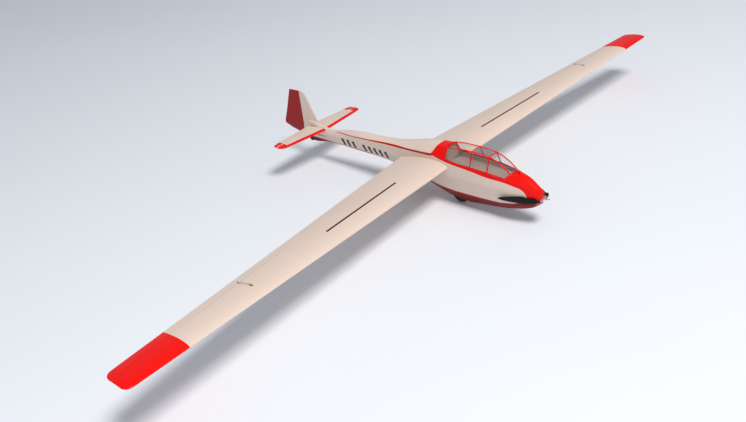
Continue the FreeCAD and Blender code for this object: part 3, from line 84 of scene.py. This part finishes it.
class Paint:
    """A node material in which masks are sums and comparisons of the place on the object."""

    def __init__(self, name, roughness=0.5, metallic=0.0, coat=0.0, specular=0.5):
        self.material = bpy.data.materials.new(name)
        self.material.use_nodes = True
        self.tree = self.material.node_tree
        self.shader = self.tree.nodes["Principled BSDF"]
        self.shader.inputs["Roughness"].default_value = roughness
        self.shader.inputs["Metallic"].default_value = metallic
        self.shader.inputs["Coat Weight"].default_value = coat
        self.shader.inputs["Coat Roughness"].default_value = 0.04
        self.shader.inputs["Specular IOR Level"].default_value = specular
        self.place = self.node("ShaderNodeTexCoord").outputs["Object"]
        split = self.node("ShaderNodeSeparateXYZ")
        self.link(self.place, split.inputs[0])
        self.x, self.y, self.z = [
            self.math("MULTIPLY", self.math("SUBTRACT", split.outputs[axis], DATUM[axis]), MM_PER_M)
            for axis in range(3)]

    def node(self, kind, **settings):
        made = self.tree.nodes.new(kind)
        for name, value in settings.items():
            setattr(made, name, value)
        return made

    def link(self, source, target):
        self.tree.links.new(source, target)

    def feed(self, socket, value):
        """Link a socket to another socket, or set it to a number or a colour."""
        if isinstance(value, bpy.types.NodeSocket):
            self.link(value, socket)
        elif isinstance(value, tuple):
            socket.default_value = (*value, 1.0)
        else:
            socket.default_value = value

    def math(self, operation, first, second=0.0, third=0.0):
        made = self.node("ShaderNodeMath", operation=operation)
        for socket, value in zip(made.inputs, (first, second, third)):
            self.feed(socket, value)
        return made.outputs[0]

    def curve(self, along, points):
        """A height that follows a smooth line of (station, height) points."""
        low, high = points[0][0], points[-1][0]
        heights = [height for _, height in points]
        bottom, top = min(heights), max(heights)
        made = self.node("ShaderNodeFloatCurve")
        made.mapping.extend = "HORIZONTAL"
        line = made.mapping.curves[0]
        while len(line.points) < len(points):
            line.points.new(0.5, 0.5)
        for knot, (station, height) in zip(line.points, points):
            knot.location = ((station - low) / (high - low), (height - bottom) / (top - bottom))
            knot.handle_type = "AUTO_CLAMPED"
        made.mapping.update()
        share = self.math("DIVIDE", self.math("SUBTRACT", along, low), high - low)
        self.link(share, made.inputs["Value"])
        return self.math("MULTIPLY_ADD", made.outputs[0], top - bottom, bottom)

    def above(self, value, limit, blur=EDGE_BLUR):
        """1 where a value in millimetres is over a limit, 0 where it is under."""
        sharp = self.math("DIVIDE", self.math("SUBTRACT", value, limit), blur)
        made = self.node("ShaderNodeClamp")
        self.link(self.math("ADD", sharp, 0.5), made.inputs[0])
        return made.outputs[0]

    def below(self, value, limit, blur=EDGE_BLUR):
        return self.math("SUBTRACT", 1.0, self.above(value, limit, blur))

    def distance(self, value, centre):
        return self.math("ABSOLUTE", self.math("SUBTRACT", value, centre))

    def within(self, value, centre, half, blur=EDGE_BLUR):
        return self.below(self.distance(value, centre), half, blur)

    def repeat(self, value, first, pitch):
        """Distance from the nearest of a row of places one pitch apart, one of them at first."""
        return self.math("PINGPONG", self.math("SUBTRACT", value, first), pitch / 2)

    def all_of(self, *masks):
        result = masks[0]
        for mask in masks[1:]:
            result = self.math("MULTIPLY", result, mask)
        return result

    def any_of(self, *masks):
        result = masks[0]
        for mask in masks[1:]:
            result = self.math("MAXIMUM", result, mask)
        return result

    def mix(self, mask, first, second):
        made = self.node("ShaderNodeMix", data_type="RGBA")
        self.feed(made.inputs[0], mask)
        self.feed(made.inputs[6], first)
        self.feed(made.inputs[7], second)
        return made.outputs[2]

    def noise(self, scale, detail=3.0, stretch=(1.0, 1.0, 1.0)):
        mapping = self.node("ShaderNodeMapping")
        mapping.inputs["Scale"].default_value = stretch
        self.link(self.place, mapping.inputs[0])
        made = self.node("ShaderNodeTexNoise")
        made.inputs["Scale"].default_value = scale
        made.inputs["Detail"].default_value = detail
        self.link(mapping.outputs[0], made.inputs["Vector"])
        return made.outputs["Fac"]

    def vary(self, colour, amount=0.06, scale=6.0):
        """A colour whose brightness drifts a little from place to place."""
        made = self.node("ShaderNodeHueSaturation")
        drift = self.math("MULTIPLY_ADD", self.noise(scale), 2 * amount, 1.0 - amount)
        self.link(drift, made.inputs["Value"])
        self.feed(made.inputs["Color"], colour)
        return made.outputs[0]

    def rough(self, low, high, scale=30.0):
        self.link(self.math("MULTIPLY_ADD", self.noise(scale, 4.0), high - low, low),
                  self.shader.inputs["Roughness"])

    def bump(self, height, distance, strength=1.0):
        made = self.node("ShaderNodeBump")
        made.inputs["Strength"].default_value = strength
        made.inputs["Distance"].default_value = distance
        self.link(height, made.inputs["Height"])
        self.link(made.outputs[0], self.shader.inputs["Normal"])

    def finish(self, colour):
        self.link(colour, self.shader.inputs["Base Color"])
        return self.material


def wear(*names_and_material):
    """Give the last argument, a material, to the nodes named by all the others."""
    *names, material = names_and_material
    for name in names:
        mesh = NODES[name].data
        mesh.materials.clear()
        mesh.materials.append(material)


def gloss_paint(name):
    """Base of every painted or film-covered surface: a thin clear coat over uneven gloss."""
    paint = Paint(name, coat=0.06, specular=0.12)
    paint.rough(0.24, 0.38)
    paint.bump(paint.noise(140.0, 2.0), 0.0002, 0.12)
    return paint


def cream_and_red(paint, red):
    return paint.mix(red, paint.vary(CREAM, 0.03), paint.vary(RED, 0.04))


def side_strip(paint):
    """The red line along each side, from the cockpit to the tailplane, wider at its front."""
    height = paint.curve(paint.x, ((-992, -7), (-785, 2.8), (-614, 11.6), (-397, 25.5),
                                   (-259, 34.5), (-85, 47)))
    half = paint.curve(paint.x, ((STRIP_REAR, 1.3), (-700, 1.7), (-400, 3.2),
                                 (STRIP_FRONT, 5.4)))
    beyond = paint.math("SUBTRACT", paint.distance(paint.z, height), half)
    return paint.all_of(paint.below(beyond, 0.0), paint.below(paint.x, STRIP_FRONT),
                        paint.above(paint.x, STRIP_REAR),
                        paint.above(paint.distance(paint.y, 0.0), STRIP_INNER))


def registration_bars(paint):
    """Plain slanted bars on the rear fuselage: three, a gap and five more."""
    along = paint.math("MULTIPLY_ADD", paint.z, BAR_SLANT, paint.x)
    bar = paint.below(paint.repeat(along, BAR_REARMOST, BAR_PITCH), BAR_HALF)
    return paint.all_of(bar, paint.within(paint.z, BAR_MIDDLE, BAR_HALF_HEIGHT),
                        paint.above(paint.distance(along, BAR_GAP), BAR_GAP_HALF),
                        paint.below(along, BARS_FRONT), paint.above(along, BARS_REAR))


def fuselage_material():
    """Cream sides between the red cockpit surround and the red belly, which meet at the nose; the
    belly's lower part and the chin carry painted shade in a darker red.
    """
    paint = gloss_paint("fuselage_paint")
    x, z = paint.x, paint.z
    upper = paint.curve(x, ((-91, 47), (-12, 31), (129, 17), (212, 6), (291, 0), (328, -8),
                            (367, -19), (388, -36), (NOSE_START, -56)))
    lower = paint.curve(x, ((-992, -60), (-850, -58), (-650, -56), (-450, -58), (-285, -71),
                            (-114, -101), (-7, -111), (105, -110), (227, -109), (293, -102),
                            (360, -88), (385, -75), (NOSE_START, -56)))
    roof_edge = paint.math("MULTIPLY_ADD", z, 0.66, -124.0)
    cockpit = paint.all_of(paint.above(z, upper), paint.above(x, roof_edge))
    nose = paint.above(x, NOSE_START)
    belly = paint.all_of(paint.below(z, lower), paint.below(x, NOSE_START))
    # Painted shade: the belly below its lighter upper band, and the chin under the blades.
    shaded_belly = paint.all_of(belly, paint.below(paint.math("ADD", z, BELLY_LIT_BAND), lower))
    shaded_chin = paint.all_of(paint.above(x, CHIN_SHADE_START), paint.below(z, CHIN_SHADE_TOP))
    seam = paint.within(paint.y, 0.0, SEAM_HALF, SEAM_BLUR)
    colour = cream_and_red(paint, paint.any_of(cockpit, nose))
    colour = paint.mix(paint.any_of(belly, side_strip(paint)), colour, LINE_RED)
    # Painted shade in a darker red on the lower belly and the chin.
    colour = paint.mix(paint.any_of(shaded_belly, shaded_chin), colour, BELLY_SHADE_RED)
    colour = paint.mix(registration_bars(paint), colour, BLACK)
    colour = paint.mix(paint.math("MULTIPLY", seam, SEAM_STRENGTH), colour, SEAM_BROWN)
    return paint.finish(colour)


def wing_material():
    """Cream film with a red tip, and a dark seal round the airbrake on the upper side."""
    paint = gloss_paint("wing_film")
    span = paint.distance(paint.y, 0.0)
    brake_line = paint.math("MULTIPLY_ADD", span, 0.1012, -106.6)
    above_spar = paint.math("MULTIPLY_ADD", span, -0.0385, paint.z)
    seal = paint.all_of(paint.within(paint.x, brake_line, SEAL_HALF),
                        paint.above(span, SEAL_INNER), paint.below(span, SEAL_OUTER),
                        paint.above(above_spar, 10.0))
    colour = cream_and_red(paint, paint.above(span, WING_TIP_START))
    return paint.finish(paint.mix(seal, colour, SEAL_RED))


def tail_material():
    """Cream film with a red leading edge and tip, and white dots along the hinge tape."""
    paint = gloss_paint("tail_film")
    span = paint.distance(paint.y, 0.0)
    lead = paint.above(paint.x, paint.math("MULTIPLY_ADD", span, -0.1112, -841.0))
    ahead = paint.math("SUBTRACT", paint.x, TAIL_TIP_STATION)
    tip = paint.above(span, paint.math("MULTIPLY_ADD", ahead, TAIL_TIP_SLANT, TAIL_TIP_START))
    tape = paint.all_of(paint.within(paint.x, TAPE_STATION, TAPE_HALF),
                        paint.above(span, TAPE_INNER))
    dots = paint.all_of(tape, paint.below(paint.repeat(span, 0.0, DOT_PITCH), DOT_HALF))
    colour = cream_and_red(paint, paint.any_of(lead, tip))
    colour = paint.mix(tape, colour, HINGE_TAPE)
    return paint.finish(paint.mix(dots, colour, WHITE))


def plain_film(name, colour):
    paint = gloss_paint(name)
    return paint.finish(paint.vary(colour, 0.05))


def moulded_plastic(name, colour, roughness=0.5, grain=900.0):
    paint = Paint(name, specular=0.18)
    paint.rough(roughness - 0.06, roughness + 0.1, 60.0)
    paint.bump(paint.noise(grain, 3.0), 0.0001, 0.25)
    return paint.finish(paint.vary(colour, 0.12, 25.0))


def brushed(name, smoothest, roughest):
    """Base of every bare metal: fine brushing across the object's length."""
    paint = Paint(name, metallic=1.0)
    paint.rough(smoothest, roughest, 90.0)
    paint.bump(paint.noise(500.0, 3.0, (1.0, 8.0, 8.0)), 0.00005, 0.2)
    return paint


def metal(name, colour, roughness=0.28):
    paint = brushed(name, roughness - 0.08, roughness + 0.14)
    return paint.finish(paint.vary(colour, 0.08, 60.0))


def yoke_metal():
    """Machined alloy, blacked on the port arm where the blade's root sits."""
    paint = brushed("yoke_alloy", 0.28, 0.46)
    return paint.finish(paint.mix(paint.above(paint.y, YOKE_BLACK_START), BARE_ALLOY, YOKE_BLACK))


def plywood():
    """Sanded plywood, painted like the tub on the former that closes the cockpit's rear."""
    paint = Paint("plywood", roughness=0.6)
    grain = paint.noise(60.0, 6.0, (0.15, 1.0, 1.0))
    paint.bump(grain, 0.0002, 0.3)
    colour = paint.mix(grain, (0.50, 0.31, 0.15), (0.72, 0.51, 0.29))
    cockpit_wall = paint.within(paint.x, REAR_FORMER, REAR_FORMER_HALF)
    return paint.finish(paint.mix(cockpit_wall, colour, LINER))


def rubber():
    paint = Paint("tyre_rubber")
    paint.rough(0.65, 0.9, 40.0)
    paint.bump(paint.noise(700.0, 4.0), 0.0003, 0.4)
    return paint.finish(paint.vary((0.018, 0.017, 0.017), 0.25, 30.0))


def glazing():
    paint = Paint("canopy_glazing", roughness=0.02)
    shader = paint.shader
    shader.inputs["Transmission Weight"].default_value = 1.0
    shader.inputs["IOR"].default_value = 1.12
    paint.bump(paint.noise(14.0, 1.0), 0.0006, 0.1)
    return paint.finish(paint.vary((0.90, 0.92, 0.91), 0.02))


def liner_material():
    paint = Paint("cockpit_tub")
    paint.rough(0.5, 0.75, 40.0)
    paint.bump(paint.noise(600.0, 4.0), 0.0002, 0.3)
    return paint.finish(paint.vary(LINER, 0.1, 9.0))


WING = wing_material()
TAIL = tail_material()
STEEL = metal("bright_steel", (0.55, 0.55, 0.56))
ALLOY = metal("machined_alloy", BARE_ALLOY, 0.32)
PLASTIC = moulded_plastic("black_moulding", BLACK)
WOOD = plywood()
wear("fuselage_shell", fuselage_material())
wear("port_wing_skin", "starboard_wing_skin", "port_aileron", "starboard_aileron", WING)
wear("port_tailplane", "starboard_tailplane", "port_elevator", "starboard_elevator", TAIL)
wear("fin", plain_film("fin_film", CREAM))
# The rudder's red film is painted darker as shade.
wear("rudder", plain_film("rudder_shaded_film", RUDDER_SHADE_RED))
wear("port_airbrake_cap", "starboard_airbrake_cap", plain_film("airbrake_film", BRAKE_RED))
wear("canopy_frame", "canopy_hinge", plain_film("canopy_frame_paint", RED))
wear("canopy_panes", glazing())
wear("cockpit_liner", liner_material())
wear("main_tyre", rubber())
wear("main_wheel_hub", moulded_plastic("wheel_moulding", (0.05, 0.05, 0.055)))
wear("port_blade", "starboard_blade", moulded_plastic("blade_moulding", BLADE_BLACK, 0.24, 400.0))
wear("motor_case", "joiner_tubes", "port_airbrake_blade", "starboard_airbrake_blade", ALLOY)
wear("propeller_yoke", yoke_metal())
wear("propeller_nut", metal("brass", (0.74, 0.50, 0.30), 0.25))
wear("motor_shaft", metal("plated_shaft", (0.72, 0.52, 0.38), 0.25))
wear("battery", moulded_plastic("battery_wrap", (0.03, 0.06, 0.22), 0.35))
wear("wing_joiner", "locating_pins", "wheel_axle", "motor_screws", "blade_pins",
     "tailplane_joiner", "elevator_joiner", "elevator_rod", "rudder_rod", "port_aileron_rod",
     "starboard_aileron_rod", STEEL)
wear("formers", "wing_ribs", "wing_spars", "equipment_tray", "wheel_brackets", "motor_ring",
     "airbrake_channels", WOOD)
wear("speed_controller", "receiver", "tail_servos", "aileron_servos", "tail_skid", "canopy_latch",
     "rudder_horn", "rudder_servo_arm", "elevator_servo_arm", PLASTIC)
wear("port_aileron_horn", "starboard_aileron_horn", "port_aileron_servo_arm",
     "starboard_aileron_servo_arm", moulded_plastic("pale_moulding", (0.50, 0.40, 0.33)))

# ------------------------------------------------------------------------------ stage

LENS, LENS_SHIFT = 36.77, (-0.1146, -0.0631)
CAMERA_FROM_DATUM = Vector((1.96655, -2.27476, 1.53066))
CAMERA_AXES = (Vector((0.78780, 0.60793, -0.09895)), Vector((-0.20976, 0.41585, 0.88491)),
               Vector((0.57912, -0.67638, 0.45513)))
FLOOR_REACH, FLOOR_HEIGHT = 24.0, -0.001
FLOOR_COLOUR = (0.80, 0.83, 0.88)
SKY_COLOUR, SKY_STRENGTH = (0.86, 0.92, 1.0, 1.0), 0.42
LIT_POINT = (0.0, 0.0, 0.2)


def make_camera():
    data = bpy.data.cameras.new("view")
    data.lens = LENS
    data.shift_x, data.shift_y = LENS_SHIFT
    data.clip_end = 60.0
    camera = bpy.data.objects.new("view", data)
    right, up, back = CAMERA_AXES
    camera.matrix_world = Matrix((
        (right.x, up.x, back.x, DATUM.x + CAMERA_FROM_DATUM.x),
        (right.y, up.y, back.y, DATUM.y + CAMERA_FROM_DATUM.y),
        (right.z, up.z, back.z, DATUM.z + CAMERA_FROM_DATUM.z),
        (0.0, 0.0, 0.0, 1.0)))
    bpy.context.scene.collection.objects.link(camera)
    bpy.context.scene.camera = camera


def make_floor():
    mesh = bpy.data.meshes.new("floor")
    corners = ((-1, -1), (1, -1), (1, 1), (-1, 1))
    mesh.from_pydata([(x * FLOOR_REACH, y * FLOOR_REACH, FLOOR_HEIGHT) for x, y in corners],
                     [], [(0, 1, 2, 3)])
    floor = bpy.data.objects.new("floor", mesh)
    bpy.context.scene.collection.objects.link(floor)
    paint = Paint("floor_paint", roughness=0.7)
    mesh.materials.append(paint.finish(paint.vary(FLOOR_COLOUR, 0.02, 0.6)))


def area_light(name, place, power, size, colour):
    """A square lamp, in watts, that faces the middle of the glider."""
    data = bpy.data.lights.new(name, "AREA")
    data.energy, data.size, data.color = power, size, colour
    light = bpy.data.objects.new(name, data)
    light.location = place
    light.rotation_euler = (Vector(LIT_POINT) - Vector(place)).to_track_quat("-Z", "Y").to_euler()
    bpy.context.scene.collection.objects.link(light)


def make_world():
    world = bpy.data.worlds.new("studio")
    world.use_nodes = True
    back = world.node_tree.nodes["Background"]
    back.inputs["Color"].default_value = SKY_COLOUR
    back.inputs["Strength"].default_value = SKY_STRENGTH
    bpy.context.scene.world = world


bpy.context.scene.view_settings.view_transform = "Standard"
make_camera()
make_floor()
make_world()
area_light("key", (5.9, -1.6, 9.6), 1000.0, 3.0, (1.0, 0.97, 0.93))
area_light("fill", (1.5, -3.6, 1.4), 14.0, 2.5, (0.9, 0.95, 1.0))
